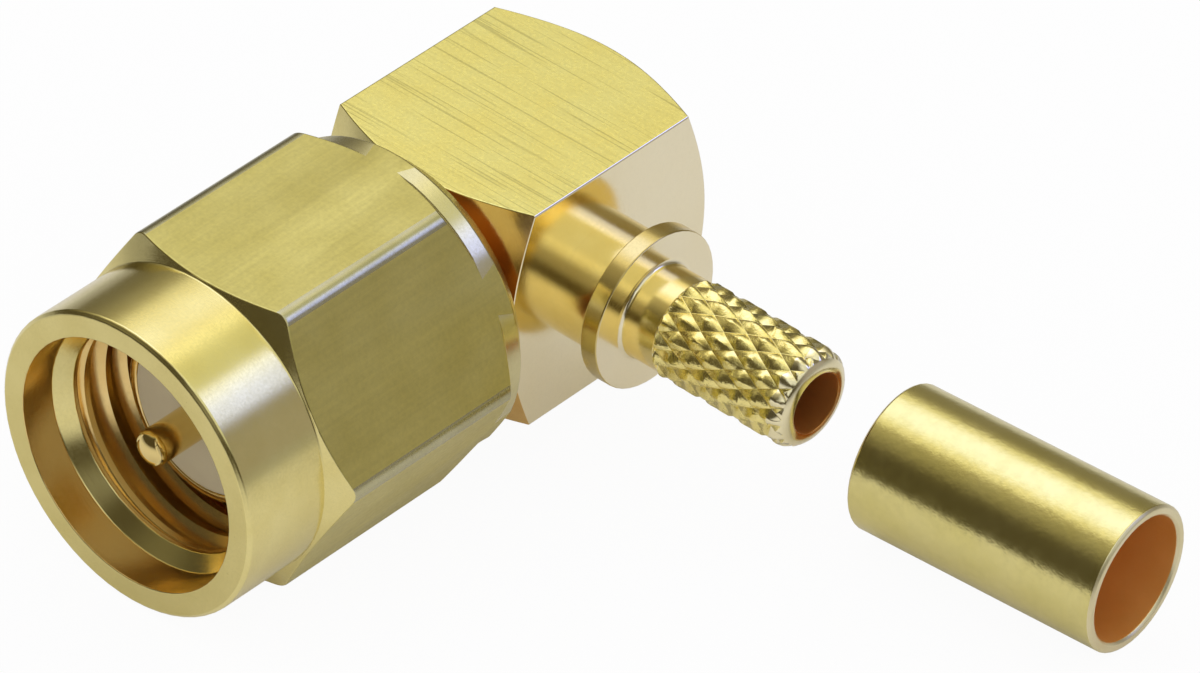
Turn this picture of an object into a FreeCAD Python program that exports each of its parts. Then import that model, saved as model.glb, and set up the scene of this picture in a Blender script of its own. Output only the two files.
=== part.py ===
"""A right-angle coaxial crimp plug with its loose crimp ferrule, in millimetres.

The origin is the centre of the interface's reference plane, where the centre pin leaves the
insulator. The plug mates towards -Y, the crimp spigot leaves the block towards +X, and +Z is up.
The plug lies on a flat of its coupling nut, and the ferrule lies beside it on the same surface.
"""
import FreeCAD, Part
import math
import os

# The coupling nut
nut_reach = 2.5                # front face ahead of the reference plane
nut_length = 9.45
across_flats = 8.0
corner_rounding = 0.435        # radius of the six corners, as burnished bar stock has
collar_step = 0.06             # from the flats down to the turned collar at the front
front_collar_length = 2.48
rear_collar_rise = 0.05        # the rear collar is turned just proud of the flats
rear_collar_length = 0.48      # between the hexagon and the rear chamfer
rear_chamfer = 0.52
collar_edge_break = 0.09
hex_front_angle = 30.0         # slope of the turned corners, from the end face
hex_rear_angle = 38.0
thread_wall = 0.8              # metal between the thread's root and the flats
thread_height = 0.29
thread_land = 0.12             # plain ring at each end of the thread
mouth_step = 0.07              # the mouth is this much larger than the thread, on the radius
mouth_depth = 0.95
relief_step = 0.1              # undercut behind the thread, where the gasket sits
nut_groove_depth = 0.42

# The coaxial interface
pin_radius = 0.457             # male pin ahead of the reference plane
pin_reach = 1.85
pin_tip_bulge = 0.16           # the tip is part of a ball, this much larger in radius than the pin
contact_radius = 0.635         # centre contact inside the insulator
mating_space = 0.595           # between the thread and the outer contact, for the mating barrel
sleeve_wall = 0.245            # outer contact around the insulator
sleeve_length = 2.4            # from the reference plane to the shoulder of the neck
sleeve_edge_break = 0.06

# The neck, the snap ring and the gasket
neck_step = 0.335              # the neck's shoulder behind the outer contact
neck_edge_break = 0.1
neck_groove_depth = 0.28
ring_width = 0.5
ring_thickness = 0.55
ring_setback = 1.05            # from the nut's rear face to the snap ring
ring_split = 0.9
gasket_thickness = 0.6
gasket_wall = 0.62
gasket_edge_break = 0.15

# The square block
block_width = 6.2
block_length = 6.95
block_front_rim = 0.3          # flat ring around the neck, inside the front cone
block_rear_radius = 2.88       # flat face inside the rear cone
block_front_angle = 30.0
block_rear_angle = 29.0
front_web = 0.55               # wall between the front face and the solder chamber
chamber_radius = 1.9
cap_radius = 2.35
cap_thickness = 0.8
cap_edge_break = 0.12
rear_insulator_thickness = 0.9

# The tail of the centre contact
tail_radius = 0.8
tail_reach = 0.8               # behind the axis of the spigot
tail_slot_width = 0.56

# The crimp spigot
spigot_offset = 3.13           # its axis behind the block's front face
cable_bore_radius = 0.78
cable_bore_flare = 0.02
shank_radius = 1.5             # pressed into the block
boss_radius = 1.58
boss_length = 1.25
flange_radius = 2.05
flange_thickness = 0.5
neck_length = 1.0              # smooth neck between the flange and the knurl
spigot_neck_radius = 1.21
barrel_radius = 1.27
barrel_length = 4.0            # knurled barrel, its rounded nose included
nose_radius = 0.45
nose_drop = 0.44               # the nose's end face is this much smaller in radius
knurl_starts = 14
knurl_pitch = 1.02             # along the barrel, from diamond to diamond
knurl_depth = 0.15
knurl_sharp_height = 0.07      # the pyramids' own tips above the skimmed barrel

# The crimp ferrule
ferrule_bore_radius = 1.6
ferrule_wall = 0.275
ferrule_length = 6.98
ferrule_edge_break = 0.07
ferrule_gap = 0.88             # from the barrel's end to the ferrule's near end, along +X
ferrule_shift = 2.08           # of the ferrule's centre from the spigot's axis, along +Y
ferrule_turn = 3.7             # degrees about +Z

# Clearances
running_clearance = 0.06       # between the nut and the body, on the radius
groove_clearance = 0.1         # around the snap ring in the nut's groove
seat_clearance = 0.02          # around pieces that sit still in a bore
nut_end_gap = 0.09             # between the nut and the block
gasket_clearance = 0.03

# Places along +Y
nut_front_y = -nut_reach
nut_rear_y = nut_front_y + nut_length
ring_rear_y = nut_rear_y - ring_setback
ring_front_y = ring_rear_y - ring_thickness
block_front_y = nut_rear_y + nut_end_gap
block_rear_y = block_front_y + block_length
spigot_y = block_front_y + spigot_offset
chamber_front_y = block_front_y + front_web
cap_front_y = block_rear_y - cap_thickness

# Places along +X
block_half = block_width / 2.0
flange_back_x = block_half + boss_length
flange_face_x = flange_back_x + flange_thickness
barrel_start_x = flange_face_x + neck_length
barrel_end_x = barrel_start_x + barrel_length

# Radii that follow from others, from the flats inwards
flat_radius = across_flats / 2.0
vertex_radius = flat_radius / math.cos(math.pi / 6)
collar_radius = flat_radius - collar_step
rear_collar_radius = flat_radius + rear_collar_rise
thread_major_radius = flat_radius - thread_wall
thread_minor_radius = thread_major_radius - thread_height
mouth_radius = thread_major_radius + mouth_step
relief_radius = thread_major_radius + relief_step
sleeve_radius = thread_minor_radius - mating_space
insulator_radius = sleeve_radius - sleeve_wall - seat_clearance
neck_radius = sleeve_radius + neck_step
block_front_radius = neck_radius + block_front_rim
neck_groove_radius = neck_radius - neck_groove_depth
ring_inner_radius = neck_groove_radius + seat_clearance
ring_outer_radius = ring_inner_radius + ring_width
nut_bore_radius = neck_radius + running_clearance
nut_groove_radius = nut_bore_radius + nut_groove_depth
gasket_inner_radius = sleeve_radius + gasket_clearance
ferrule_outer_radius = ferrule_bore_radius + ferrule_wall

X_AXIS = FreeCAD.Vector(1, 0, 0)
Y_AXIS = FreeCAD.Vector(0, 1, 0)
Z_AXIS = FreeCAD.Vector(0, 0, 1)


def turned(profile):
    """Turns a closed profile of (radius, place) points about the interface's own axis."""
    points = [FreeCAD.Vector(radius, place, 0) for radius, place in profile]
    wire = Part.makePolygon(points + points[:1])
    return Part.Face(wire).revolve(FreeCAD.Vector(0, 0, 0), Y_AXIS, 360)


def turned_along_x(profile):
    """Turns a closed profile of (radius, place) points about the spigot's axis."""
    points = [FreeCAD.Vector(place, spigot_y + radius, 0) for radius, place in profile]
    wire = Part.makePolygon(points + points[:1])
    return Part.Face(wire).revolve(FreeCAD.Vector(0, spigot_y, 0), X_AXIS, 360)


def rod_y(radius, start, end):
    """A plain round rod along the interface's axis."""
    return Part.makeCylinder(radius, end - start, FreeCAD.Vector(0, start, 0), Y_AXIS)


def rod_x(radius, start, end):
    """A plain round rod along the spigot's axis."""
    return Part.makeCylinder(radius, end - start, FreeCAD.Vector(start, spigot_y, 0), X_AXIS)


def rise(radius_step, angle):
    """How far a cone of this slope goes along the axis over a step in radius."""
    return radius_step * math.tan(math.radians(angle))


def coupling_nut():
    """The hexagon with its turned collars and corners, mouth, thread seat and ring groove."""
    front_cone = rise(vertex_radius - collar_radius, hex_front_angle)
    rear_cone = rise(vertex_radius - rear_collar_radius, hex_rear_angle)
    hex_front_y = nut_front_y + front_collar_length
    hex_rear_y = nut_rear_y - rear_chamfer - rear_collar_length
    outline = turned([
        (0, nut_front_y),
        (collar_radius - collar_edge_break, nut_front_y),
        (collar_radius, nut_front_y + collar_edge_break),
        (collar_radius, hex_front_y),
        (vertex_radius, hex_front_y + front_cone),
        (vertex_radius, hex_rear_y - rear_cone),
        (rear_collar_radius, hex_rear_y),
        (rear_collar_radius, nut_rear_y - rear_chamfer),
        (rear_collar_radius - rear_chamfer, nut_rear_y),
        (0, nut_rear_y),
    ])
    corners = [
        FreeCAD.Vector(vertex_radius * math.cos(k * math.pi / 3), nut_front_y,
                       vertex_radius * math.sin(k * math.pi / 3))
        for k in range(6)
    ]
    hexagon = Part.Face(Part.makePolygon(corners + corners[:1]))
    prism = hexagon.extrude(Y_AXIS * nut_length)
    long_edges = [edge for edge in prism.Edges if abs(edge.Length - nut_length) < 1e-6]
    bar = prism.makeFillet(corner_rounding, long_edges)
    return outline.common(bar).cut(nut_inside())


def nut_inside():
    """Everything that is bored out of the nut, from its mouth to its rear face."""
    lead_in = mouth_radius - thread_minor_radius
    thread_front_y = nut_front_y + mouth_depth + lead_in
    shoulder_y = sleeve_length + gasket_clearance
    thread_rear_y = shoulder_y - gasket_thickness - thread_land
    bores = turned([
        (0, nut_front_y),
        (mouth_radius, nut_front_y),
        (mouth_radius, nut_front_y + mouth_depth),
        (thread_minor_radius, thread_front_y),
        (thread_minor_radius, thread_front_y + thread_land),
        (thread_major_radius, thread_front_y + thread_land + thread_height),
        (thread_major_radius, thread_rear_y - thread_height),
        (thread_minor_radius, thread_rear_y),
        (thread_minor_radius, thread_rear_y + thread_land),
        (relief_radius, thread_rear_y + thread_land),
        (relief_radius, shoulder_y),
        (nut_bore_radius, shoulder_y),
        (nut_bore_radius, nut_rear_y),
        (0, nut_rear_y),
    ])
    groove = rod_y(nut_groove_radius, ring_front_y - groove_clearance,
                   ring_rear_y + groove_clearance)
    return bores.fuse(groove)


def angle_body():
    """The square block with turned ends, in one piece with the neck and the outer contact."""
    corner = block_half * math.sqrt(2)
    front_cone = rise(corner - block_front_radius, block_front_angle)
    rear_cone = rise(corner - block_rear_radius, block_rear_angle)
    outline = turned([
        (0, block_front_y),
        (block_front_radius, block_front_y),
        (corner, block_front_y + front_cone),
        (corner, block_rear_y - rear_cone),
        (block_rear_radius, block_rear_y),
        (0, block_rear_y),
    ])
    bar = Part.makeBox(block_width, block_length, block_width,
                       FreeCAD.Vector(-block_half, block_front_y, -block_half))
    block = outline.common(bar)
    neck = turned([
        (0, 0),
        (sleeve_radius - sleeve_edge_break, 0),
        (sleeve_radius, sleeve_edge_break),
        (sleeve_radius, sleeve_length),
        (neck_radius - neck_edge_break, sleeve_length),
        (neck_radius, sleeve_length + neck_edge_break),
        (neck_radius, ring_front_y),
        (neck_groove_radius, ring_front_y),
        (neck_groove_radius, ring_rear_y),
        (neck_radius, ring_rear_y),
        (neck_radius, block_front_y),
        (0, block_front_y),
    ])
    insulator_bore = rod_y(insulator_radius + seat_clearance, 0, chamber_front_y)
    chamber = rod_y(chamber_radius, chamber_front_y, block_rear_y)
    cap_seat = rod_y(cap_radius + seat_clearance, cap_front_y, block_rear_y)
    side_bore = rod_x(shank_radius + seat_clearance, 0, block_half)
    body = block.fuse(neck).removeSplitter()
    for hole in (insulator_bore, chamber, cap_seat, side_bore):
        body = body.cut(hole)
    return body


def front_insulator():
    """The dielectric, flush with the reference plane, with the bore for the contact."""
    outside = rod_y(insulator_radius, 0, chamber_front_y - seat_clearance)
    return outside.cut(rod_y(contact_radius + seat_clearance, 0, chamber_front_y))


def centre_contact():
    """The male pin, its thicker run through the insulator and its slotted solder tail."""
    tail_front_y = chamber_front_y
    tail_rear_y = spigot_y + tail_reach
    ball_radius = pin_radius + pin_tip_bulge
    ball_y = -pin_reach + ball_radius
    ball = Part.makeSphere(ball_radius, FreeCAD.Vector(0, ball_y, 0))
    tip = rod_y(pin_radius, -pin_reach, ball_y).common(ball)
    run = turned([
        (0, ball_y),
        (pin_radius, ball_y),
        (pin_radius, 0),
        (contact_radius, 0),
        (contact_radius, tail_front_y),
        (tail_radius, tail_front_y),
        (tail_radius, tail_rear_y),
        (0, tail_rear_y),
    ])
    slot_depth = tail_reach + tail_slot_width / 2.0
    slot = Part.makeBox(2 * tail_radius, slot_depth, tail_slot_width,
                        FreeCAD.Vector(-tail_radius, tail_rear_y - slot_depth,
                                       -tail_slot_width / 2.0))
    return tip.fuse(run).removeSplitter().cut(slot)


def retaining_ring():
    """The split snap ring that shares the grooves of the neck and the nut."""
    ring = rod_y(ring_outer_radius, ring_front_y + seat_clearance, ring_rear_y - seat_clearance)
    ring = ring.cut(rod_y(ring_inner_radius, ring_front_y, ring_rear_y))
    split = Part.makeBox(ring_split, ring_thickness, ring_outer_radius,
                         FreeCAD.Vector(-ring_split / 2.0, ring_front_y, 0))
    return ring.cut(split)


def edge_broken_tube(inner, outer, start, end, edge_break):
    """The (radius, place) points of a tube's section with all four edges broken."""
    return [
        (inner + edge_break, start),
        (outer - edge_break, start),
        (outer, start + edge_break),
        (outer, end - edge_break),
        (outer - edge_break, end),
        (inner + edge_break, end),
        (inner, end - edge_break),
        (inner, start + edge_break),
    ]


def gasket():
    """The sealing ring around the outer contact, against the shoulder of the neck."""
    return turned(edge_broken_tube(gasket_inner_radius, gasket_inner_radius + gasket_wall,
                                   sleeve_length - gasket_thickness, sleeve_length,
                                   gasket_edge_break))


def rear_insulator():
    """The disc between the solder tail and the cap."""
    return rod_y(chamber_radius - seat_clearance, cap_front_y - rear_insulator_thickness,
                 cap_front_y)


def rear_cap():
    """The disc pressed into the block's rear face."""
    inner = cap_radius - cap_edge_break
    return turned([
        (0, cap_front_y),
        (cap_radius, cap_front_y),
        (cap_radius, block_rear_y - cap_edge_break),
        (inner, block_rear_y),
        (0, block_rear_y),
    ])


def knurl_point(radius, ring, step):
    """A point of the knurl, by its half pitch along the barrel and half diamond around it."""
    angle = step * math.pi / knurl_starts
    x = barrel_start_x + (ring - 1) * knurl_pitch / 2.0
    return FreeCAD.Vector(x, spigot_y + radius * math.sin(angle), radius * math.cos(angle))


def knurled_bar():
    """A bar covered with staggered pyramids between crossing grooves, longer than the barrel."""
    valley = barrel_radius - knurl_depth
    tip = barrel_radius + knurl_sharp_height
    rings = math.ceil(barrel_length / (knurl_pitch / 2.0)) + 2
    faces = []
    ends = []

    def triangle(*corners):
        faces.append(Part.Face(Part.makePolygon(list(corners) + [corners[0]])))

    for ring in range(rings + 1):
        outline = []
        for diamond in range(knurl_starts):
            middle = 2 * diamond + 1 + ring % 2
            left = knurl_point(valley, ring, middle - 1)
            right = knurl_point(valley, ring, middle + 1)
            peak = knurl_point(tip, ring, middle)
            outline += [left, peak]
            if ring > 0:
                back = knurl_point(valley, ring - 1, middle)
                triangle(peak, left, back)
                triangle(peak, back, right)
            if ring < rings:
                ahead = knurl_point(valley, ring + 1, middle)
                triangle(peak, ahead, left)
                triangle(peak, right, ahead)
        if ring in (0, rings):
            ends.append(Part.Face(Part.makePolygon(outline + outline[:1])))
    shell = Part.Shell(faces + ends)
    bar = Part.Solid(shell)
    if bar.Volume < 0:
        bar.reverse()
    return bar


def nose_profile():
    """The rounded end of the barrel as (radius, place) points on one arc."""
    steps = 5
    widest = math.acos(1 - nose_drop / nose_radius)
    points = []
    for k in range(steps + 1):
        angle = widest * k / steps
        radius = barrel_radius - nose_radius * (1 - math.cos(angle))
        place = barrel_end_x - nose_radius * (math.sin(widest) - math.sin(angle))
        points.append((radius, place))
    return points


def crimp_spigot():
    """The shank, boss, flange and smooth neck, with the knurl that runs out into the nose."""
    shank_end_x = chamber_radius
    shoulders = turned_along_x([
        (0, shank_end_x),
        (shank_radius, shank_end_x),
        (shank_radius, block_half),
        (boss_radius, block_half),
        (boss_radius, flange_back_x),
        (flange_radius, flange_back_x),
        (flange_radius, flange_face_x),
        (spigot_neck_radius, flange_face_x),
        (spigot_neck_radius, barrel_start_x),
        (0, barrel_start_x),
    ])
    skim = barrel_radius - spigot_neck_radius
    barrel_outline = turned_along_x([
        (0, barrel_start_x),
        (spigot_neck_radius, barrel_start_x),
        (barrel_radius, barrel_start_x + skim),
        *nose_profile(),
        (0, barrel_end_x),
    ])
    barrel = knurled_bar().common(barrel_outline)
    bore = rod_x(cable_bore_radius, 0, barrel_end_x)
    flare = turned_along_x([
        (0, barrel_end_x - cable_bore_flare),
        (cable_bore_radius, barrel_end_x - cable_bore_flare),
        (cable_bore_radius + cable_bore_flare, barrel_end_x),
        (0, barrel_end_x),
    ])
    return shoulders.fuse(barrel).cut(bore).cut(flare)


def crimp_ferrule():
    """The plain crimp tube, lying on the surface that carries the nut."""
    near_end_x = barrel_end_x + ferrule_gap
    middle_x = near_end_x + ferrule_length / 2.0
    tube = turned_along_x(edge_broken_tube(ferrule_bore_radius, ferrule_outer_radius, near_end_x,
                                           near_end_x + ferrule_length, ferrule_edge_break))
    tube.rotate(FreeCAD.Vector(middle_x, spigot_y, 0), Z_AXIS, ferrule_turn)
    tube.translate(FreeCAD.Vector(0, ferrule_shift, ferrule_outer_radius - flat_radius))
    return tube


PIECES = {
    "coupling_nut": coupling_nut,
    "angle_body": angle_body,
    "front_insulator": front_insulator,
    "centre_contact": centre_contact,
    "retaining_ring": retaining_ring,
    "gasket": gasket,
    "rear_insulator": rear_insulator,
    "rear_cap": rear_cap,
    "crimp_spigot": crimp_spigot,
    "crimp_ferrule": crimp_ferrule,
}


def main():
    """Builds every piece and writes it to its own file."""
    os.makedirs("parts", exist_ok=True)
    for name, build in PIECES.items():
        shape = build()
        shape.exportStep(f"parts/{name}.step")
        print(f"{name}: {len(shape.Solids)} solid, {shape.Volume:.2f} mm3, valid {shape.isValid()}")


main()
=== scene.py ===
"""Looks of a gold-plated right-angle coaxial crimp plug and its loose crimp ferrule."""
import logging
import math
from dataclasses import dataclass, field
from enum import Enum
from typing import Callable

import bmesh
import bpy
from mathutils import Matrix, Vector


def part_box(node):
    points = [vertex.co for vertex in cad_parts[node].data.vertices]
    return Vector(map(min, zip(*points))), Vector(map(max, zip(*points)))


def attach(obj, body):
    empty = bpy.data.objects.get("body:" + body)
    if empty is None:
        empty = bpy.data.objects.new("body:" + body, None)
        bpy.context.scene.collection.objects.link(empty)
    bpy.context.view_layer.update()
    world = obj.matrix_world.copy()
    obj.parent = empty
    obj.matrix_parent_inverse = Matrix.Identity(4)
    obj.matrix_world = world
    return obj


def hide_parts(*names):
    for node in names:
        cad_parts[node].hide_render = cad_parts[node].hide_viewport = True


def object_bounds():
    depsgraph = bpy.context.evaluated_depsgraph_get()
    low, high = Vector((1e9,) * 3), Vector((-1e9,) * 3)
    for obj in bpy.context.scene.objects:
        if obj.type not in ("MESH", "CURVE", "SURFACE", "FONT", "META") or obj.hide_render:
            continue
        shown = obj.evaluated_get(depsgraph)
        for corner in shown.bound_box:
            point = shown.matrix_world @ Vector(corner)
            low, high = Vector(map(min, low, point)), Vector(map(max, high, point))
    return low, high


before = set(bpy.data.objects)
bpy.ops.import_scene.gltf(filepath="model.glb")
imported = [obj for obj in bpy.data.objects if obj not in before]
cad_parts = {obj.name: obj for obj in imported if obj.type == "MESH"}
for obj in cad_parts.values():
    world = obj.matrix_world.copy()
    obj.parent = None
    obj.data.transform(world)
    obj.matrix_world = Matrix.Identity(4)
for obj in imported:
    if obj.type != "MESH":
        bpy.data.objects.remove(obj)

CAD_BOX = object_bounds()
MM = 0.001
WELD = 0.0005 * MM
FLAT_ANGLE = math.radians(0.3)
SHARP_ANGLE = math.radians(20.0)
# Nearly all of a noise lies between these two values.
NOISE_LOW = 0.3
NOISE_HIGH = 0.7
# A face counts as square to an axis where its normal's share along it is above this.
SQUARE_ON = 0.99
WHITE = (1.0, 1.0, 1.0, 1.0)

Colour = tuple[float, float, float]
EdgeWidth = Callable[[Vector], float]
EdgeRule = Callable[[bmesh.types.BMEdge], bool]

log = logging.getLogger("plug")


class Lay(Enum):
    """How the fine lines of a machined surface run, as line density along X, Y and Z."""

    ALONG_X = (0.018, 1.0, 1.0)
    ALONG_Y = (1.0, 0.03, 1.0)
    AROUND_X = (1.0, 0.04, 0.04)
    AROUND_Y = (0.04, 1.0, 0.04)
    EVEN = (1.0, 1.0, 1.0)


class Socket(Enum):
    """The socket types that the shared effects use."""

    NUMBER = "NodeSocketFloat"
    VECTOR = "NodeSocketVector"
    COLOUR = "NodeSocketColor"


class Blend(Enum):
    """What a mix node blends: its data type, and the places of its two inputs and its output."""

    NUMBER = ("FLOAT", 2, 3, 0)
    COLOUR = ("RGBA", 6, 7, 2)


def new_group(name: str, inputs: dict[str, Socket], outputs: dict[str, Socket],
              ) -> tuple[bpy.types.NodeTree, bpy.types.Node, bpy.types.Node]:
    """Starts a shader node group with named sockets.

    Args:
        name: The group's name.
        inputs: Input names and their types.
        outputs: Output names and their types.

    Returns:
        The node tree, its input node and its output node.
    """
    tree = bpy.data.node_groups.new(name, "ShaderNodeTree")
    for label, kind in inputs.items():
        tree.interface.new_socket(label, in_out="INPUT", socket_type=kind.value)
    for label, kind in outputs.items():
        tree.interface.new_socket(label, in_out="OUTPUT", socket_type=kind.value)
    return tree, tree.nodes.new("NodeGroupInput"), tree.nodes.new("NodeGroupOutput")


def add_node(tree: bpy.types.NodeTree, kind: str, inputs: dict[str | int, object],
             **settings: object) -> bpy.types.Node:
    """Adds a node, sets it up and feeds its inputs.

    Args:
        tree: The node tree to add to.
        kind: The node's type.
        inputs: By name or place, each input's value or the socket that feeds it.
        settings: The node's own settings.

    Returns:
        The new node.
    """
    node = tree.nodes.new(kind)
    for key, value in settings.items():
        setattr(node, key, value)
    for key, value in inputs.items():
        if isinstance(value, bpy.types.NodeSocket):
            tree.links.new(value, node.inputs[key])
        else:
            node.inputs[key].default_value = value
    return node


def noise(tree: bpy.types.NodeTree, position: bpy.types.NodeSocket,
          density: float | bpy.types.NodeSocket, detail: float,
          roughness: float) -> bpy.types.NodeSocket:
    """Adds a noise.

    Args:
        tree: The node tree to add to.
        position: The socket with the position in millimetres.
        density: How many marks there are per millimetre.
        detail: How many finer layers it has.
        roughness: How strong the finer layers are.

    Returns:
        The noise's socket.
    """
    node = add_node(tree, "ShaderNodeTexNoise", {
        "Vector": position, "Scale": density, "Detail": detail, "Roughness": roughness})
    return node.outputs["Fac"]


def remap(tree: bpy.types.NodeTree, value: bpy.types.NodeSocket, low: float, high: float,
          to_low: float = 0.0, to_high: float = 1.0, smooth: bool = False) -> bpy.types.NodeSocket:
    """Maps one range of values onto another and clamps what lies outside.

    Args:
        tree: The node tree to add to.
        value: The value's socket.
        low: Where the range starts.
        high: Where it ends.
        to_low: The result at its start.
        to_high: The result at its end.
        smooth: Whether both ends ease in.

    Returns:
        The result's socket.
    """
    node = add_node(tree, "ShaderNodeMapRange", {
        "Value": value, "From Min": low, "From Max": high, "To Min": to_low, "To Max": to_high,
    }, interpolation_type="SMOOTHSTEP" if smooth else "LINEAR")
    return node.outputs["Result"]


def calculate(tree: bpy.types.NodeTree, operation: str,
              *values: float | bpy.types.NodeSocket) -> bpy.types.NodeSocket:
    """Works out one value from others.

    Args:
        tree: The node tree to add to.
        operation: The math node's operation.
        values: The numbers or sockets that it takes.

    Returns:
        The result's socket.
    """
    node = add_node(tree, "ShaderNodeMath", dict(enumerate(values)), operation=operation)
    return node.outputs["Value"]


def combine(tree: bpy.types.NodeTree, operation: str,
            *vectors: Colour | Vector | bpy.types.NodeSocket) -> bpy.types.Node:
    """Works out one vector, or one value, from vectors or colours.

    Args:
        tree: The node tree to add to.
        operation: The vector math node's operation.
        vectors: The vectors or sockets that it takes.

    Returns:
        The node.
    """
    return add_node(tree, "ShaderNodeVectorMath", dict(enumerate(vectors)), operation=operation)


def scaled(tree: bpy.types.NodeTree, vector: Colour | bpy.types.NodeSocket,
           factor: float | bpy.types.NodeSocket) -> bpy.types.NodeSocket:
    """Scales a vector or a colour.

    Args:
        tree: The node tree to add to.
        vector: The vector or colour.
        factor: How many times longer or brighter it becomes.

    Returns:
        The scaled vector's socket.
    """
    node = add_node(tree, "ShaderNodeVectorMath", {0: vector, "Scale": factor}, operation="SCALE")
    return node.outputs["Vector"]


def blend(tree: bpy.types.NodeTree, kind: Blend, share: bpy.types.NodeSocket,
          first: float | bpy.types.NodeSocket,
          second: float | bpy.types.NodeSocket) -> bpy.types.NodeSocket:
    """Blends two numbers or two colours.

    Args:
        tree: The node tree to add to.
        kind: What is blended.
        share: The second one's share.
        first: The first one.
        second: The second one.

    Returns:
        The blend's socket.
    """
    data_type, first_place, second_place, result = kind.value
    node = add_node(tree, "ShaderNodeMix", {0: share, first_place: first, second_place: second},
                    data_type=data_type)
    return node.outputs[result]


def mix_shaders(tree: bpy.types.NodeTree, share: bpy.types.NodeSocket,
                first: bpy.types.Node, second: bpy.types.Node) -> bpy.types.Node:
    """Mixes two shaders.

    Args:
        tree: The node tree to add to.
        share: The second one's share.
        first: The first shader's node.
        second: The second shader's node.

    Returns:
        The mixed shader's node.
    """
    return add_node(tree, "ShaderNodeMixShader",
                    {"Fac": share, 1: first.outputs[0], 2: second.outputs[0]})


def to_millimetres(tree: bpy.types.NodeTree,
                   position: bpy.types.NodeSocket) -> bpy.types.NodeSocket:
    """Scales a position in metres to millimetres.

    Args:
        tree: The node tree to add to.
        position: The socket with the position in metres.

    Returns:
        The socket with the position in millimetres.
    """
    return scaled(tree, position, 1.0 / MM)


@dataclass
class Effects:
    """The node groups that several finishes share, each made once.

    Densities are in marks per millimetre.
    """

    grain_detail: float = 3.0
    grain_roughness: float = 0.62
    line_detail: float = 4.0
    line_roughness: float = 0.7
    score_density: float = 11.0
    score_detail: float = 1.0
    score_roughness: float = 0.6
    score_low: float = 0.58
    score_high: float = 0.66
    patch_detail: float = 4.0
    patch_roughness: float = 0.5
    patch_low: float = 0.32
    patch_high: float = 0.68
    grain: bpy.types.NodeTree = field(init=False)
    lines: bpy.types.NodeTree = field(init=False)
    tone: bpy.types.NodeTree = field(init=False)

    def __post_init__(self) -> None:
        """Builds the three groups."""
        self.grain = self._grain()
        self.lines = self._lines()
        self.tone = self._tone()

    def _grain(self) -> bpy.types.NodeTree:
        """Makes the even, fine grain of plating over a tumbled or drawn surface.

        Returns:
            A group from position and grain density to a height.
        """
        tree, start, end = new_group(
            "plating_grain",
            {"Position": Socket.VECTOR, "Grain Density": Socket.NUMBER},
            {"Height": Socket.NUMBER},
        )
        position = to_millimetres(tree, start.outputs["Position"])
        grain = noise(tree, position, start.outputs["Grain Density"], self.grain_detail,
                      self.grain_roughness)
        tree.links.new(grain, end.inputs["Height"])
        return tree

    def _lines(self) -> bpy.types.NodeTree:
        """Makes the lines that drawing or turning leaves, with a few deeper scores.

        Returns:
            A group from position, lay and density to a height and a mask of the scores.
        """
        tree, start, end = new_group(
            "machining_lines",
            {"Position": Socket.VECTOR, "Lay": Socket.VECTOR, "Line Density": Socket.NUMBER},
            {"Height": Socket.NUMBER, "Scores": Socket.NUMBER},
        )
        position = to_millimetres(tree, start.outputs["Position"])
        stretched = combine(tree, "MULTIPLY", position, start.outputs["Lay"]).outputs["Vector"]
        fine = noise(tree, stretched, start.outputs["Line Density"], self.line_detail,
                     self.line_roughness)
        coarse = noise(tree, stretched, self.score_density, self.score_detail,
                       self.score_roughness)
        scores = remap(tree, coarse, self.score_low, self.score_high)
        tree.links.new(fine, end.inputs["Height"])
        tree.links.new(scores, end.inputs["Scores"])
        return tree

    def _tone(self) -> bpy.types.NodeTree:
        """Makes the slow change of colour over a plated surface.

        Returns:
            A group from position, density and two colours to one colour.
        """
        tree, start, end = new_group(
            "plating_tone",
            {"Position": Socket.VECTOR, "Patch Density": Socket.NUMBER,
             "Light": Socket.COLOUR, "Deep": Socket.COLOUR},
            {"Colour": Socket.COLOUR},
        )
        position = to_millimetres(tree, start.outputs["Position"])
        patches = noise(tree, position, start.outputs["Patch Density"], self.patch_detail,
                        self.patch_roughness)
        share = remap(tree, patches, self.patch_low, self.patch_high)
        colour = blend(tree, Blend.COLOUR, share, start.outputs["Light"], start.outputs["Deep"])
        tree.links.new(colour, end.inputs["Colour"])
        return tree


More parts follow.
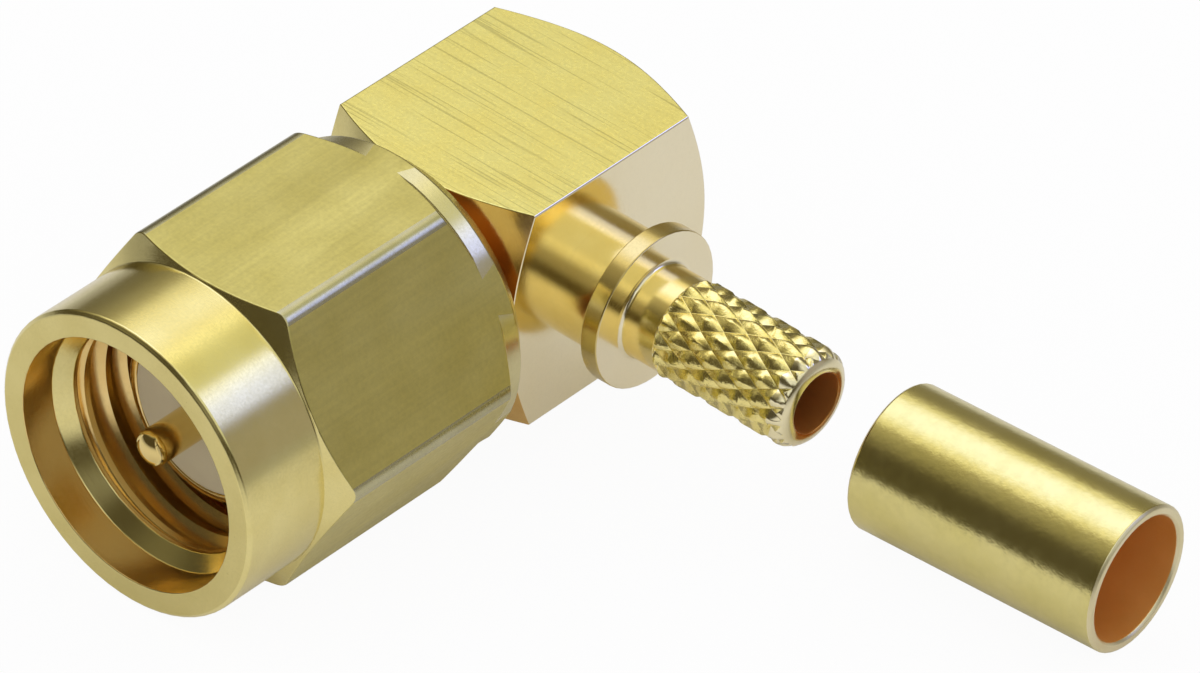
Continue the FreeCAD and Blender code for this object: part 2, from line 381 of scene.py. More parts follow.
@dataclass(frozen=True)
class Finish:
    """A surface finish: its colours, its gloss and its fine relief.

    Heights are in millimetres, densities in marks per millimetre.
    """

    name: str
    light: Colour
    deep: Colour
    roughness: float
    roughness_spread: float = 0.04
    metallic: float = 1.0
    patch_density: float = 0.8
    grain_density: float = 14.0
    grain_height: float = 0.0006
    lay: Lay = Lay.EVEN
    line_density: float = 24.0
    line_height: float = 0.0
    grain_shade: float = 0.0
    line_shade: float = 0.0
    score_shade: float = 0.0

    def build(self, effects: Effects) -> bpy.types.Material:
        """Makes the material.

        Args:
            effects: The shared node groups.

        Returns:
            The finished material.
        """
        material = bpy.data.materials.new(self.name)
        material.use_nodes = True
        tree = material.node_tree
        position = tree.nodes.new("ShaderNodeTexCoord").outputs["Object"]
        tone = add_node(tree, "ShaderNodeGroup", {
            "Position": position, "Patch Density": self.patch_density,
            "Light": (*self.light, 1.0), "Deep": (*self.deep, 1.0),
        }, node_tree=effects.tone)
        grain = add_node(tree, "ShaderNodeGroup", {
            "Position": position, "Grain Density": self.grain_density,
        }, node_tree=effects.grain)
        lines = add_node(tree, "ShaderNodeGroup", {
            "Position": position, "Lay": self.lay.value, "Line Density": self.line_density,
        }, node_tree=effects.lines)

        colour = tone.outputs["Colour"]
        for mark, low, high, depth in (
            (grain.outputs["Height"], NOISE_LOW, NOISE_HIGH, self.grain_shade),
            (lines.outputs["Height"], NOISE_LOW, NOISE_HIGH, self.line_shade),
            (lines.outputs["Scores"], 0.0, 1.0, self.score_shade),
        ):
            if depth:
                colour = scaled(tree, colour, remap(tree, mark, low, high, 1.0, 1.0 - depth))
        gloss = remap(tree, grain.outputs["Height"], NOISE_LOW, NOISE_HIGH,
                      self.roughness - self.roughness_spread,
                      self.roughness + self.roughness_spread)
        relief = self._bump(tree, grain.outputs["Height"], self.grain_height)
        if self.line_height:
            relief = self._bump(tree, lines.outputs["Height"], self.line_height, relief)

        shader = tree.nodes["Principled BSDF"]
        shader.inputs["Metallic"].default_value = self.metallic
        for label, socket in (("Base Color", colour), ("Roughness", gloss), ("Normal", relief)):
            tree.links.new(socket, shader.inputs[label])
        return material

    @staticmethod
    def _bump(tree: bpy.types.NodeTree, height: bpy.types.NodeSocket, depth: float,
              below: bpy.types.NodeSocket | None = None) -> bpy.types.NodeSocket:
        """Adds a bump node.

        Args:
            tree: The material's tree.
            height: The socket with the height.
            depth: How high the relief stands, in millimetres.
            below: The normal that it is laid over, or None.

        Returns:
            The new normal's socket.
        """
        inputs = {"Height": height, "Strength": 1.0, "Distance": depth * MM}
        if below is not None:
            inputs["Normal"] = below
        return add_node(tree, "ShaderNodeBump", inputs).outputs["Normal"]


TURNED_GOLD = Finish(
    "turned_gold", (0.90, 0.79, 0.34), (0.84, 0.72, 0.28), roughness=0.18,
    lay=Lay.AROUND_Y, line_density=26.0, line_height=0.0010, grain_height=0.0003, grain_shade=0.06,
)
FACED_GOLD = Finish(
    "faced_gold", (0.79, 0.68, 0.27), (0.73, 0.62, 0.23), roughness=0.24,
    lay=Lay.AROUND_Y, line_density=26.0, line_height=0.0006, grain_height=0.0005, grain_shade=0.06,
)
# Painted shade: a dark red-brown copy of the turned gold for the nut's rear end face, standing in
# for the shade and gold bounce light in the gap before the block.
NUT_REAR_PAINTED_SHADE = Finish(
    "nut_rear_painted_shade", (0.50, 0.25, 0.08), (0.44, 0.20, 0.06), roughness=0.34,
    lay=Lay.AROUND_Y, line_density=20.0, line_height=0.0010, grain_height=0.0004,
)
REAR_COLLAR_GOLD = Finish(
    "rear_collar_gold", (0.84, 0.77, 0.44), (0.76, 0.69, 0.36), roughness=0.22,
    lay=Lay.AROUND_Y, line_density=26.0, line_height=0.0010, grain_height=0.0003, grain_shade=0.06,
)
# Painted reflection: a dimmer, greyer gold on the nut's rounded corners that stands in for the grey
# and silvery light they reflect; the fine lines along Y are real relief.
CORNER_PAINTED_REFLECTION_GOLD = Finish(
    "corner_painted_reflection_gold", (0.60, 0.56, 0.34), (0.53, 0.49, 0.27), roughness=0.24, roughness_spread=0.06,
    lay=Lay.ALONG_Y, line_density=9.0, line_height=0.0010, grain_height=0.0005, line_shade=0.10,
)
SPIGOT_TURNED_GOLD = Finish(
    "spigot_turned_gold", (0.96, 0.79, 0.32), (0.92, 0.72, 0.24), roughness=0.16,
    lay=Lay.AROUND_X, line_density=26.0, line_height=0.0006, grain_height=0.0004, grain_shade=0.05,
)
HEX_FLAT_GOLD = Finish(
    "hex_flat_gold", (0.80, 0.70, 0.225), (0.73, 0.63, 0.185), roughness=0.36,
    roughness_spread=0.05, lay=Lay.ALONG_Y, line_density=6.0, line_height=0.0011,
    grain_height=0.0009, grain_density=9.0, grain_shade=0.10, line_shade=0.12,
)
DRAWN_GOLD = Finish(
    "drawn_gold", (1.0, 0.90, 0.30), (1.0, 0.87, 0.26), roughness=0.30, roughness_spread=0.05,
    lay=Lay.ALONG_X, line_density=9.0, line_height=0.0014, grain_height=0.0013,
    grain_density=12.0, grain_shade=0.12, line_shade=0.08, score_shade=0.25,
)
POLISHED_GOLD = Finish(
    "polished_gold", (1.0, 0.91, 0.64), (0.98, 0.88, 0.59), roughness=0.15,
    roughness_spread=0.03, grain_height=0.0002, grain_shade=0.03, patch_density=0.4,
)
# Painted shade: a darker, redder copy of the turned gold for the block's front cone beside the
# spigot, standing in for the shade and gold bounce light between the nut and the block.
CONE_PAINTED_SHADE_GOLD = Finish(
    "cone_painted_shade_gold", (0.90, 0.62, 0.24), (0.83, 0.52, 0.17), roughness=0.18,
    lay=Lay.AROUND_Y, line_density=22.0, line_height=0.001, grain_height=0.0004, grain_shade=0.04,
)
BORE_GOLD = Finish(
    "bore_gold", (0.95, 0.72, 0.30), (0.90, 0.64, 0.24), roughness=0.22,
    lay=Lay.AROUND_Y, line_density=20.0, line_height=0.0012, grain_height=0.0004,
)
# Painted shade: a darker copy of the spigot's turned gold on the flange's rim, standing in for the
# shaded block that the rim reflects.
FLANGE_RIM_PAINTED_SHADE = Finish(
    "flange_rim_painted_shade", (0.77, 0.61, 0.235), (0.72, 0.545, 0.185), roughness=0.17,
    lay=Lay.AROUND_X, line_density=26.0, line_height=0.0006, grain_height=0.0006, grain_shade=0.06,
)
KNURLED_GOLD = Finish(
    "knurled_gold", (1.0, 0.88, 0.35), (1.0, 0.83, 0.28), roughness=0.22, roughness_spread=0.08,
    grain_height=0.014, grain_density=7.0, grain_shade=0.04,
)
SATIN_GOLD = Finish(
    "satin_gold", (0.845, 0.745, 0.305), (0.80, 0.70, 0.255), roughness=0.21, roughness_spread=0.04,
    lay=Lay.AROUND_X, line_density=10.0, line_height=0.0006, grain_height=0.0065,
    grain_density=4.5, grain_shade=0.05,
)
CUT_EDGE_GOLD = Finish(
    "cut_edge_gold", (0.90, 0.81, 0.51), (0.84, 0.74, 0.42), roughness=0.36, grain_height=0.0006,
)
# Painted shade: a dim orange, partly diffuse gold inside the ferrule's bore, standing in for the
# shade and gold bounce light in the tube.
FERRULE_BORE_PAINTED_SHADE = Finish(
    "ferrule_bore_painted_shade", (0.90, 0.50, 0.14), (0.84, 0.43, 0.10), roughness=0.4, metallic=0.6,
    grain_height=0.0008,
)
# Painted shade: a dim orange, partly diffuse gold inside the spigot's cable bore, standing in for
# the shade and gold bounce light in the bore.
CABLE_BORE_PAINTED_SHADE = Finish(
    "cable_bore_painted_shade", (0.85, 0.42, 0.11), (0.78, 0.35, 0.08), roughness=0.36, metallic=0.85,
    grain_height=0.0008,
)
NOSE_GOLD = Finish(
    "nose_gold", (0.97, 0.88, 0.56), (0.92, 0.82, 0.48), roughness=0.16, grain_height=0.0006,
    lay=Lay.AROUND_X, line_density=20.0, line_height=0.0004,
)
PIN_GOLD = Finish(
    "pin_gold", (0.87, 0.69, 0.28), (0.82, 0.63, 0.23), roughness=0.12, grain_height=0.0003,
)
# Painted shade and bounce light: the white dielectric gets a dim warm beige that stands in for the
# shade and the gold-reflected light inside the nut.
PTFE_PAINTED_SHADE = Finish(
    "white_dielectric_painted_shade", (0.67, 0.59, 0.39), (0.62, 0.54, 0.36), roughness=0.42, metallic=0.0,
    grain_height=0.002, lay=Lay.AROUND_Y, line_density=12.0, line_height=0.003,
)
SILICONE = Finish(
    "silicone_seal", (0.42, 0.07, 0.04), (0.34, 0.05, 0.03), roughness=0.5, metallic=0.0,
    grain_height=0.002,
)
SPRING_BRONZE = Finish(
    "spring_bronze", (0.72, 0.42, 0.22), (0.62, 0.34, 0.17), roughness=0.24, grain_height=0.0008,
)


Region = Callable[[Vector, Vector], Finish]


class Workshop:
    """Makes each finish once and hands it out."""

    def __init__(self) -> None:
        """Builds the shared effects."""
        self.effects = Effects()
        self.made: dict[str, bpy.types.Material] = {}

    def get(self, finish: Finish) -> bpy.types.Material:
        """Hands out the material of a finish, made on first use.

        Args:
            finish: The finish.

        Returns:
            Its material.
        """
        if finish.name not in self.made:
            self.made[finish.name] = finish.build(self.effects)
        return self.made[finish.name]


def welded_copy(node: str, name: str, is_round: EdgeRule | None = None) -> bpy.types.Object:
    """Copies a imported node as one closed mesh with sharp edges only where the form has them.

    Args:
        node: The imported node's name.
        name: The new piece's name.
        is_round: Tells the edges that are shaded round though their faces stand at an angle.

    Returns:
        The new object, at the origin.
    """
    shape = bmesh.new()
    shape.from_mesh(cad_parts[node].data)
    bmesh.ops.remove_doubles(shape, verts=shape.verts, dist=WELD)
    bmesh.ops.dissolve_limit(shape, angle_limit=FLAT_ANGLE, use_dissolve_boundaries=False,
                             verts=shape.verts, edges=shape.edges, delimit=set())
    return finished_object(shape, name, is_round)


def finished_object(shape: bmesh.types.BMesh, name: str,
                    is_round: EdgeRule | None = None) -> bpy.types.Object:
    """Shades a bmesh by its angles and puts it into the scene.

    Args:
        shape: The mesh, which is freed.
        name: The object's name.
        is_round: Tells the edges that are shaded round though their faces stand at an angle.

    Returns:
        The new object, at the origin.
    """
    for face in shape.faces:
        face.smooth = True
    for edge in shape.edges:
        if edge.calc_face_angle(0.0) > SHARP_ANGLE:
            edge.smooth = is_round is not None and is_round(edge)
    mesh = bpy.data.meshes.new(name)
    shape.to_mesh(mesh)
    shape.free()
    piece = bpy.data.objects.new(name, mesh)
    bpy.context.scene.collection.objects.link(piece)
    return piece


def soften_edges(piece: bpy.types.Object, width_at: float | EdgeWidth, segments: int = 2) -> None:
    """Rounds the sharp edges a little and keeps the flats flat.

    Args:
        piece: The object.
        width_at: The rounding's width in millimetres, or a rule that gives it from an edge's
            middle in millimetres.
        segments: How many steps it has.
    """
    mesh = piece.data
    widths = [0.0] * len(mesh.edges)
    for edge in mesh.edges:
        if edge.use_edge_sharp:
            start, end = (mesh.vertices[i].co for i in edge.vertices)
            middle = (start + end) / (2.0 * MM)
            widths[edge.index] = width_at(middle) if callable(width_at) else width_at
    widest = max(widths)
    weights = mesh.attributes.new("bevel_weight_edge", "FLOAT", "EDGE")
    weights.data.foreach_set("value", [width / widest for width in widths])
    bevel = piece.modifiers.new("edge_rounding", "BEVEL")
    bevel.width = widest * MM
    bevel.segments = segments
    bevel.limit_method = "WEIGHT"
    bevel.use_clamp_overlap = False
    bevel.harden_normals = True


def dress(piece: bpy.types.Object, workshop: Workshop, finishes: tuple[Finish, ...],
          region: Region | None = None) -> None:
    """Gives each face the finish of its region.

    Args:
        piece: The object.
        workshop: Gives the materials.
        finishes: All the finishes that the piece has.
        region: Tells a face's finish from its middle in millimetres and its normal. Without it
            every face has the first finish.
    """
    for finish in finishes:
        piece.data.materials.append(workshop.get(finish))
    for face in piece.data.polygons:
        finish = region(face.center / MM, face.normal) if region else finishes[0]
        face.material_index = finishes.index(finish)


def seat(piece: bpy.types.Object, body: str, slot: str, *nodes: str) -> None:
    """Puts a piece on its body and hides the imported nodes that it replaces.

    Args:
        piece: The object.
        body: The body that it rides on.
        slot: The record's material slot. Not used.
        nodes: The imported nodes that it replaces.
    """
    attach(piece, body)
    if nodes:
        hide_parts(*nodes)
    log.info("%s rides on %s: %d faces", piece.name, body, len(piece.data.polygons))


@dataclass
class CouplingNut:
    """The hexagonal nut with its turned collars, and the thread inside it. Sizes in millimetres."""

    bore_limit: float = 3.5
    bore_tilt: float = 0.2
    lead_in_tilt: float = -0.2
    flat_tilt: float = 0.999
    flat_reach: float = 3.99
    corner_reach: float = 4.12
    corner_tilt: float = 0.01
    rear_collar_start: float = 5.9
    front_land_end: float = -2.3
    edge_rounding: float = 0.035
    thread_pitch: float = 0.7056
    thread_crest_radius: float = 2.915
    thread_root_radius: float = 3.22
    thread_crest_width: float = 0.16
    thread_root_width: float = 0.60
    thread_start: float = -1.12
    thread_end: float = 1.76
    steps_per_turn: int = 96

    def build(self, workshop: Workshop) -> None:
        """Builds and seats the nut and its thread.

        Args:
            workshop: Gives the finishes.
        """
        nut = welded_copy("coupling_nut", "plated_coupling_nut")
        finishes = (TURNED_GOLD, HEX_FLAT_GOLD, BORE_GOLD, CORNER_PAINTED_REFLECTION_GOLD, REAR_COLLAR_GOLD,
                    FACED_GOLD, NUT_REAR_PAINTED_SHADE)
        dress(nut, workshop, finishes, self.region)
        soften_edges(nut, self.edge_rounding)
        seat(nut, "nut", "nut_gold", "coupling_nut")
        thread = self.thread()
        dress(thread, workshop, (BORE_GOLD,))
        seat(thread, "nut", "nut_gold")

    def region(self, middle: Vector, normal: Vector) -> Finish:
        """Tells end faces, bore, hexagon flats, rear collar, corners and turned faces apart.

        Args:
            middle: The face's middle, in millimetres.
            normal: The face's normal.

        Returns:
            The face's finish.
        """
        radial = Vector((middle.x, 0.0, middle.z))
        if abs(normal.y) > SQUARE_ON and middle.y < self.front_land_end:
            return FACED_GOLD
        # The rear end face gets painted shade.
        if normal.y > SQUARE_ON and middle.y > self.rear_collar_start:
            return NUT_REAR_PAINTED_SHADE
        if radial.length < self.bore_limit and radial.normalized().dot(normal) < self.bore_tilt:
            return TURNED_GOLD if normal.y < self.lead_in_tilt else BORE_GOLD
        for k in range(6):
            facing = Vector((math.sin(k * math.pi / 3), 0.0, math.cos(k * math.pi / 3)))
            if normal.dot(facing) > self.flat_tilt and middle.dot(facing) > self.flat_reach:
                return HEX_FLAT_GOLD
        if middle.y > self.rear_collar_start:
            return REAR_COLLAR_GOLD
        # The rounded corners get painted reflection.
        if abs(normal.y) < self.corner_tilt and radial.length > self.corner_reach:
            return CORNER_PAINTED_REFLECTION_GOLD
        return TURNED_GOLD

    def thread(self) -> bpy.types.Object:
        """Winds the thread's ridge along a right-hand helix inside the nut.

        Returns:
            The ridge as one closed piece.
        """
        turns = (self.thread_end - self.thread_start) / self.thread_pitch
        steps = round(turns * self.steps_per_turn)
        shape = bmesh.new()
        outline = [
            (self.thread_root_radius, -self.thread_root_width / 2),
            (self.thread_crest_radius, -self.thread_crest_width / 2),
            (self.thread_crest_radius, self.thread_crest_width / 2),
            (self.thread_root_radius, self.thread_root_width / 2),
        ]
        corners = [shape.verts.new((r * MM, (self.thread_start + y) * MM, 0.0)) for r, y in outline]
        start = shape.faces.new(corners)
        bmesh.ops.spin(
            shape, geom=[start, *start.edges, *start.verts], cent=(0.0, 0.0, 0.0),
            axis=(0.0, 1.0, 0.0), dvec=(0.0, turns * self.thread_pitch * MM / steps, 0.0),
            angle=2.0 * math.pi * turns, steps=steps, use_duplicate=False, use_merge=False,
        )
        bmesh.ops.remove_doubles(shape, verts=shape.verts, dist=WELD)
        bmesh.ops.recalc_face_normals(shape, faces=shape.faces)
        return finished_object(shape, "nut_thread")


@dataclass
class AngleBody:
    """The square block with its turned ends, neck and outer contact, and the cap behind it."""

    edge_rounding: float = 0.03
    bar_edge_rounding: float = 0.07
    bar_edge_reach: float = 3.05
    block_middle: float = 10.7
    sleeve_edge_rounding: float = 0.07
    sleeve_edge_end: float = 0.3
    cap_edge_rounding: float = 0.02
    flat_tilt: float = 0.999
    block_front: float = field(init=False)

    def __post_init__(self) -> None:
        """Takes the block's front from where the nut ends."""
        self.block_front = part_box("coupling_nut")[1].y / MM

    def build(self, workshop: Workshop) -> None:
        """Builds and seats the block and its rear cap.

        Args:
            workshop: Gives the finishes.
        """
        block = welded_copy("angle_body", "plated_angle_body")
        finishes = (CONE_PAINTED_SHADE_GOLD, DRAWN_GOLD, POLISHED_GOLD, BORE_GOLD, TURNED_GOLD)
        dress(block, workshop, finishes, self.region)
        soften_edges(block, self.edge_width, segments=3)
        seat(block, "plug_body", "body_gold", "angle_body")
        cap = welded_copy("rear_cap", "plated_rear_cap")
        dress(cap, workshop, (TURNED_GOLD,))
        soften_edges(cap, self.cap_edge_rounding)
        seat(cap, "plug_body", "body_gold", "rear_cap")

    def edge_width(self, middle: Vector) -> float:
        """Gives the square bar's long edges and the sleeve's mouth a wider rounding.

        Args:
            middle: The edge's middle, in millimetres.

        Returns:
            The rounding's width, in millimetres.
        """
        if middle.y < self.sleeve_edge_end:
            return self.sleeve_edge_rounding
        on_corner = min(abs(middle.x), abs(middle.z)) > self.bar_edge_reach
        return self.bar_edge_rounding if on_corner else self.edge_rounding

    def region(self, middle: Vector, normal: Vector) -> Finish:
        """Tells the neck and bores, the drawn flats, the polished sides and the ends apart.

        The front cone beside the spigot gets painted shade: a darker, redder copy of the turned
        gold that stands in for the shade and gold bounce light between the nut and the block.

        Args:
            middle: The face's middle, in millimetres.
            normal: The face's normal.

        Returns:
            The face's finish.
        """
        if middle.y < self.block_front:
            return BORE_GOLD
        if abs(normal.z) > self.flat_tilt:
            return DRAWN_GOLD
        if abs(normal.x) > self.flat_tilt:
            return POLISHED_GOLD
        # Painted shade on the front cone beside the spigot.
        if middle.y < self.block_middle and middle.x > 0.0:
            return CONE_PAINTED_SHADE_GOLD
        return TURNED_GOLD


@dataclass
class Interface:
    """The dielectric and the centre contact inside the nut, with the pieces hidden behind them."""

    edge_rounding: float = 0.02
    pin_tip_rounding: float = 0.08
    pin_tip_end: float = -1.3

    def pin_edge_width(self, middle: Vector) -> float:
        """Gives the pin's tip a wide rounding.

        Args:
            middle: The edge's middle, in millimetres.

        Returns:
            The rounding's width, in millimetres.
        """
        return self.pin_tip_rounding if middle.y < self.pin_tip_end else self.edge_rounding

    def build(self, workshop: Workshop) -> None:
        """Builds the two seen pieces and dresses the hidden ones.

        Args:
            workshop: Gives the finishes.
        """
        for node, slot, finish in (
            ("front_insulator", "ptfe", PTFE_PAINTED_SHADE),
            ("centre_contact", "contact_gold", PIN_GOLD),
            ("rear_insulator", "ptfe", PTFE_PAINTED_SHADE),
            ("retaining_ring", "spring_bronze", SPRING_BRONZE),
            ("gasket", "silicone", SILICONE),
        ):
            piece = welded_copy(node, f"finished_{node}")
            dress(piece, workshop, (finish,))
            if finish is PIN_GOLD:
                soften_edges(piece, self.pin_edge_width, segments=4)
            else:
                soften_edges(piece, self.edge_rounding)
            seat(piece, "plug_body", slot, node)


@dataclass
class CrimpSpigot:
    """The flanged spigot with its knurled barrel. Sizes in millimetres."""

    neck_start: float = 4.86
    knurl_start: float = 5.86
    nose_length: float = 0.44
    nose_outward_tilt: float = 0.1
    nose_forward_tilt: float = 0.05
    bore_limit: float = 0.815
    bore_tilt: float = -0.3
    edge_rounding: float = 0.015
    crest_reach: float = 1.02
    crest_margin: float = 0.02
    flange_edge_rounding: float = 0.04
    flange_rim_reach: float = 1.9
    flange_rim_tilt: float = 0.3
    neck_root_rounding: float = 0.12
    neck_root_length: float = 0.05
    neck_root_reach: float = 1.4
    boss_root: float = 3.2
    centre: Vector = field(init=False)
    end: float = field(init=False)

    def __post_init__(self) -> None:
        """Takes the spigot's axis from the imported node."""
        low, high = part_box("crimp_spigot")
        self.centre = (low + high) / (2.0 * MM)
        self.end = high.x / MM

    def build(self, workshop: Workshop) -> None:
        """Builds and seats the spigot.

        Args:
            workshop: Gives the finishes.
        """
        spigot = welded_copy("crimp_spigot", "plated_crimp_spigot", self.on_crest)
        finishes = (SPIGOT_TURNED_GOLD, KNURLED_GOLD, POLISHED_GOLD, CABLE_BORE_PAINTED_SHADE, NOSE_GOLD,
                    FLANGE_RIM_PAINTED_SHADE)
        dress(spigot, workshop, finishes, self.region)
        soften_edges(spigot, self.edge_width, segments=3)
        seat(spigot, "plug_body", "spigot_gold", "crimp_spigot")

    def off_axis(self, middle: Vector) -> Vector:
        """Returns the way from the spigot's axis to a point, in millimetres."""
        return Vector((0.0, middle.y - self.centre.y, middle.z - self.centre.z))

    def on_crest(self, edge: bmesh.types.BMEdge) -> bool:
        """Tells whether an edge is a ridge of the knurl, which the rolling leaves round.

        Args:
            edge: The edge.

        Returns:
            Whether it is shaded round.
        """
        middle = (edge.verts[0].co + edge.verts[1].co) / (2.0 * MM)
        return (edge.is_convex and middle.x > self.knurl_start + self.crest_margin
                and self.off_axis(middle).length > self.crest_reach)

    def edge_width(self, middle: Vector) -> float:
        """Gives the neck's root and the flange wider roundings than the knurl, the boss none.

        Args:
            middle: The edge's middle, in millimetres.

        Returns:
            The rounding's width, in millimetres.
        """
        if middle.x < self.boss_root:
            return 0.0
        if middle.x > self.neck_start:
            return self.edge_rounding
        if (middle.x > self.neck_start - self.neck_root_length
                and self.off_axis(middle).length < self.neck_root_reach):
            return self.neck_root_rounding
        return self.flange_edge_rounding

    def region(self, middle: Vector, normal: Vector) -> Finish:
        """Tells the bore, the nose, end faces, flange rim, knurl and turned shoulders apart.

        Args:
            middle: The face's middle, in millimetres.
            normal: The face's normal.

        Returns:
            The face's finish.
        """
        radial = self.off_axis(middle)
        outward = radial.normalized().dot(normal)
        # The cable bore gets painted shade.
        if radial.length < self.bore_limit and outward < self.bore_tilt:
            return CABLE_BORE_PAINTED_SHADE
        if (middle.x > self.end - self.nose_length and radial.length > self.bore_limit
                and outward > self.nose_outward_tilt and normal.x > self.nose_forward_tilt):
            return NOSE_GOLD
        if normal.x > SQUARE_ON:
            return POLISHED_GOLD
        # The flange's rim gets painted shade.
        if radial.length > self.flange_rim_reach and abs(normal.x) < self.flange_rim_tilt:
            return FLANGE_RIM_PAINTED_SHADE
        return KNURLED_GOLD if middle.x > self.knurl_start else SPIGOT_TURNED_GOLD


@dataclass
class CrimpFerrule:
    """The plain crimp tube that lies beside the plug. Sizes in millimetres."""

    edge_rounding: float = 0.03
    half_wall: float = 0.14
    cut_tilt: float = 0.5
    axis_slope: float = 0.0647
    centre: Vector = field(init=False)
    wall_middle: float = field(init=False)

    def __post_init__(self) -> None:
        """Takes the tube's middle and the radius of its wall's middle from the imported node."""
        low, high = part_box("crimp_ferrule")
        self.centre = (low + high) / 2.0 / MM
        self.wall_middle = (high.z - low.z) / 2.0 / MM - self.half_wall

    def build(self, workshop: Workshop) -> None:
        """Builds and seats the ferrule.

        Args:
            workshop: Gives the finishes.
        """
        ferrule = welded_copy("crimp_ferrule", "plated_crimp_ferrule")
        dress(ferrule, workshop, (SATIN_GOLD, CUT_EDGE_GOLD, FERRULE_BORE_PAINTED_SHADE), self.region)
        soften_edges(ferrule, self.edge_rounding)
        seat(ferrule, "plug_body", "ferrule_gold", "crimp_ferrule")

    def region(self, middle: Vector, normal: Vector) -> Finish:
        """Tells the cut ends, the outside and the bore apart.

        Args:
            middle: The face's middle, in millimetres.
            normal: The face's normal.

        Returns:
            The face's finish.
        """
        if abs(normal.x) > self.cut_tilt:
            return CUT_EDGE_GOLD
        axis_y = self.centre.y + (middle.x - self.centre.x) * self.axis_slope
        radial = middle - Vector((middle.x, axis_y, self.centre.z))
        # The bore gets painted shade.
        return SATIN_GOLD if radial.length > self.wall_middle else FERRULE_BORE_PAINTED_SHADE


def heading_vector(heading: float, elevation: float) -> Vector:
    """Turns a heading and an elevation into a direction.

    Args:
        heading: In degrees, 0 towards +Y and 90 towards +X.
        elevation: In degrees above the floor.

    Returns:
        The direction, of length 1.
    """
    heading, elevation = math.radians(heading), math.radians(elevation)
    return Vector((math.sin(heading) * math.cos(elevation),
                   math.cos(heading) * math.cos(elevation), math.sin(elevation)))


@dataclass(frozen=True)
class Lobe:
    """A soft round patch of light in the world.

    Angles are in degrees: a heading of 0 is towards +Y and 90 towards +X.
    """

    heading: float
    elevation: float
    full_within: float
    gone_beyond: float
    colour: Colour
    strength: float

    def add(self, tree: bpy.types.NodeTree, direction: bpy.types.NodeSocket,
            below: bpy.types.NodeSocket) -> bpy.types.NodeSocket:
        """Adds the patch to a colour.

        Args:
            tree: The world's tree.
            direction: The socket with the direction looked at.
            below: The colour's socket that the patch is added to.

        Returns:
            The sum's socket.
        """
        middle = heading_vector(self.heading, self.elevation)
        facing = combine(tree, "DOT_PRODUCT", direction, middle).outputs["Value"]
        light = remap(tree, facing, math.cos(math.radians(self.gone_beyond)),
                      math.cos(math.radians(self.full_within)), 0.0, self.strength, smooth=True)
        patch = scaled(tree, self.colour, light)
        return combine(tree, "ADD", below, patch).outputs["Vector"]


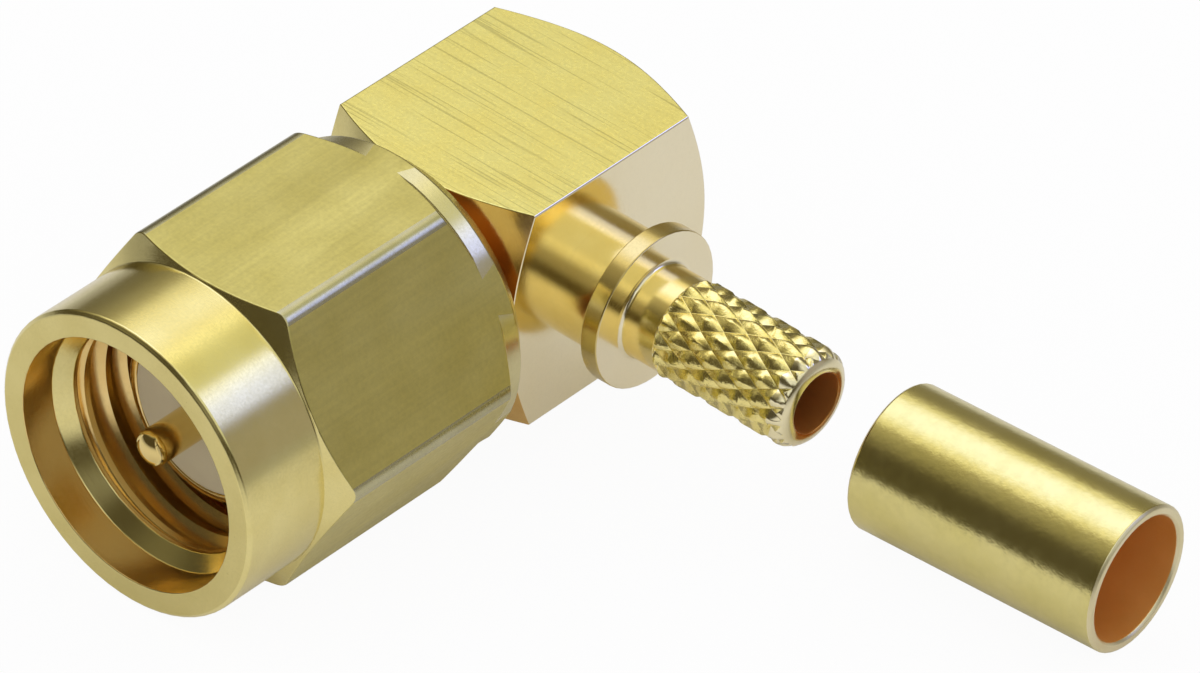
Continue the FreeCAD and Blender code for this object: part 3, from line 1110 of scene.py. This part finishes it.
@dataclass(frozen=True)
class Studio:
    """The floor, the light and the camera.

    Angles are in degrees: a heading of 0 is towards +Y and 90 towards +X. Sizes in millimetres.
    """

    floor_half: float = 600.0
    floor_colour: Colour = (0.88, 0.865, 0.90)
    floor_seen_light: float = 1.0
    floor_seen_white: float = 0.95
    floor_mirrored_white: float = 0.10
    floor_near_light: float = 1.0
    floor_far_light: float = 0.45
    floor_pool: float = 70.0
    open_light: float = 0.9
    room: Colour = (0.075, 0.063, 0.038)
    lobes: tuple[Lobe, ...] = (
        Lobe(-58.0, 61.0, 6.0, 24.0, (0.22, 0.34, 1.0), 1.2),
        Lobe(-58.0, 61.0, 24.0, 34.0, (1.0, 0.98, 0.90), 0.65),
        Lobe(-78.0, 64.0, 14.0, 57.0, (1.0, 0.94, 0.69), 0.37),
        Lobe(-43.0, 13.0, 10.0, 26.0, (1.0, 0.95, 0.80), 0.10),
        Lobe(19.0, 52.0, 6.0, 24.0, (1.0, 1.02, 0.72), 0.46),
        Lobe(42.0, 37.0, 6.0, 14.5, (0.26, 0.34, 1.15), 1.7),
        Lobe(95.0, 55.0, 18.0, 42.0, (0.95, 1.0, 1.05), 0.70),
        Lobe(142.0, 36.0, 6.0, 26.0, (1.0, 1.0, 1.0), 0.25),
        Lobe(20.0, 0.0, 20.0, 80.0, (1.0, 0.93, 0.75), 0.12),
        Lobe(58.0, 4.0, 8.0, 34.0, (1.0, 0.97, 1.25), 0.18),
    )
    lamp_heading: float = 42.0
    lamp_elevation: float = 40.0
    lamp_distance: float = 300.0
    lamp_radius: float = 60.0
    lamp_radiance: float = 0.3
    lamp_colour: Colour = (0.75, 0.80, 1.0)
    aim: tuple[float, float, float] = (5.363, 7.662, 0.928)
    azimuth: float = 41.05
    elevation: float = 38.39
    roll: float = 1.856
    distance: float = 230.26
    lens: float = 300.0
    sensor_width: float = 36.0
    nearest: float = 10.0
    farthest: float = 10000.0

    def build(self) -> None:
        """Builds the whole set."""
        self.floor()
        self.surroundings()
        self.lamp()
        self.camera()

    def floor(self) -> None:
        """Lays the pale floor under the lowest point of the object."""
        shape = bmesh.new()
        bmesh.ops.create_grid(shape, x_segments=1, y_segments=1, size=self.floor_half * MM)
        bmesh.ops.translate(shape, verts=shape.verts, vec=(0.0, 0.0, CAD_BOX[0].z))
        floor = finished_object(shape, "floor")
        floor.data.materials.append(self.floor_material())

    def floor_material(self) -> bpy.types.Material:
        """Makes the floor's material.

        The camera sees the floor as white with a faint shadow, and the metal sees a soft pool of
        light on it that fades towards the horizon.

        Returns:
            The material.
        """
        material = bpy.data.materials.new("pale_floor")
        material.use_nodes = True
        tree = material.node_tree
        tree.nodes.remove(tree.nodes["Principled BSDF"])
        position = tree.nodes.new("ShaderNodeTexCoord").outputs["Object"]
        path = tree.nodes.new("ShaderNodeLightPath").outputs
        reach = combine(tree, "LENGTH", position).outputs["Value"]
        pool = remap(tree, reach, 0.0, self.floor_pool * MM, self.floor_near_light,
                     self.floor_far_light, smooth=True)
        light = blend(tree, Blend.NUMBER, path["Is Camera Ray"], pool, self.floor_seen_light)
        lit = add_node(tree, "ShaderNodeBsdfDiffuse",
                       {"Color": scaled(tree, self.floor_colour, light)})
        white = add_node(tree, "ShaderNodeEmission", {"Strength": light})
        seen = calculate(tree, "MULTIPLY", path["Is Camera Ray"], self.floor_seen_white)
        mirrored = calculate(tree, "MAXIMUM", path["Is Glossy Ray"], path["Is Transmission Ray"])
        share = calculate(tree, "MULTIPLY_ADD", mirrored, self.floor_mirrored_white, seen)
        mixed = mix_shaders(tree, share, lit, white)
        tree.links.new(mixed.outputs["Shader"], tree.nodes["Material Output"].inputs["Surface"])
        return material

    def surroundings(self) -> None:
        """Hangs soft lights round the object, in a dim room with a white background."""
        world = bpy.data.worlds.new("studio")
        bpy.context.scene.world = world
        world.use_nodes = True
        tree = world.node_tree
        tree.nodes.clear()
        direction = tree.nodes.new("ShaderNodeTexCoord").outputs["Generated"]
        path = tree.nodes.new("ShaderNodeLightPath").outputs
        room = add_node(tree, "ShaderNodeCombineXYZ", dict(enumerate(self.room)))
        light = room.outputs["Vector"]
        for lobe in self.lobes:
            light = lobe.add(tree, direction, light)
        mirrored = add_node(tree, "ShaderNodeBackground", {"Color": light})
        plain = add_node(tree, "ShaderNodeBackground",
                         {"Color": WHITE, "Strength": self.open_light})
        white = add_node(tree, "ShaderNodeBackground", {"Color": WHITE})
        around = mix_shaders(tree, path["Is Glossy Ray"], plain, mirrored)
        seen = calculate(tree, "MAXIMUM", path["Is Camera Ray"], path["Is Transmission Ray"])
        mixed = mix_shaders(tree, seen, around, white)
        add_node(tree, "ShaderNodeOutputWorld", {"Surface": mixed.outputs["Shader"]})

    def lamp(self) -> None:
        """Adds the small bright lamp behind the object on its right."""
        towards = heading_vector(self.lamp_heading, self.lamp_elevation)
        data = bpy.data.lights.new("back_lamp", "AREA")
        data.shape = "DISK"
        data.size = 2.0 * self.lamp_radius * MM
        data.color = self.lamp_colour
        area = math.pi * (self.lamp_radius * MM) ** 2
        data.energy = self.lamp_radiance * math.pi * area
        lamp = bpy.data.objects.new("back_lamp", data)
        lamp.location = Vector(self.aim) * MM + towards * self.lamp_distance * MM
        lamp.rotation_euler = (-towards).to_track_quat("-Z", "Y").to_euler()
        bpy.context.scene.collection.objects.link(lamp)

    def camera(self) -> None:
        """Sets the camera where the photograph was taken from."""
        azimuth, elevation, roll = map(math.radians, (self.azimuth, self.elevation, self.roll))
        back = Vector((math.sin(azimuth) * math.cos(elevation),
                       -math.cos(azimuth) * math.cos(elevation), math.sin(elevation)))
        right = Vector((math.cos(azimuth), math.sin(azimuth), 0.0))
        up = back.cross(right)
        turned_right = right * math.cos(roll) + up * math.sin(roll)
        turned_up = up * math.cos(roll) - right * math.sin(roll)
        data = bpy.data.cameras.new("camera")
        data.lens = self.lens
        data.sensor_width = self.sensor_width
        data.clip_start = self.nearest * MM
        data.clip_end = self.farthest * MM
        camera = bpy.data.objects.new("camera", data)
        place = Matrix((turned_right, turned_up, back)).transposed().to_4x4()
        place.translation = (Vector(self.aim) + back * self.distance) * MM
        camera.matrix_world = place
        bpy.context.scene.collection.objects.link(camera)
        bpy.context.scene.camera = camera


def main() -> None:
    """Builds the set and every piece of the object."""
    logging.basicConfig(level=logging.INFO, format="%(name)s: %(message)s")
    bpy.context.scene.view_settings.view_transform = "Standard"
    Studio().build()
    workshop = Workshop()
    for assembly in (CouplingNut(), AngleBody(), Interface(), CrimpSpigot(), CrimpFerrule()):
        assembly.build(workshop)


if __name__ == "__main__":
    main()
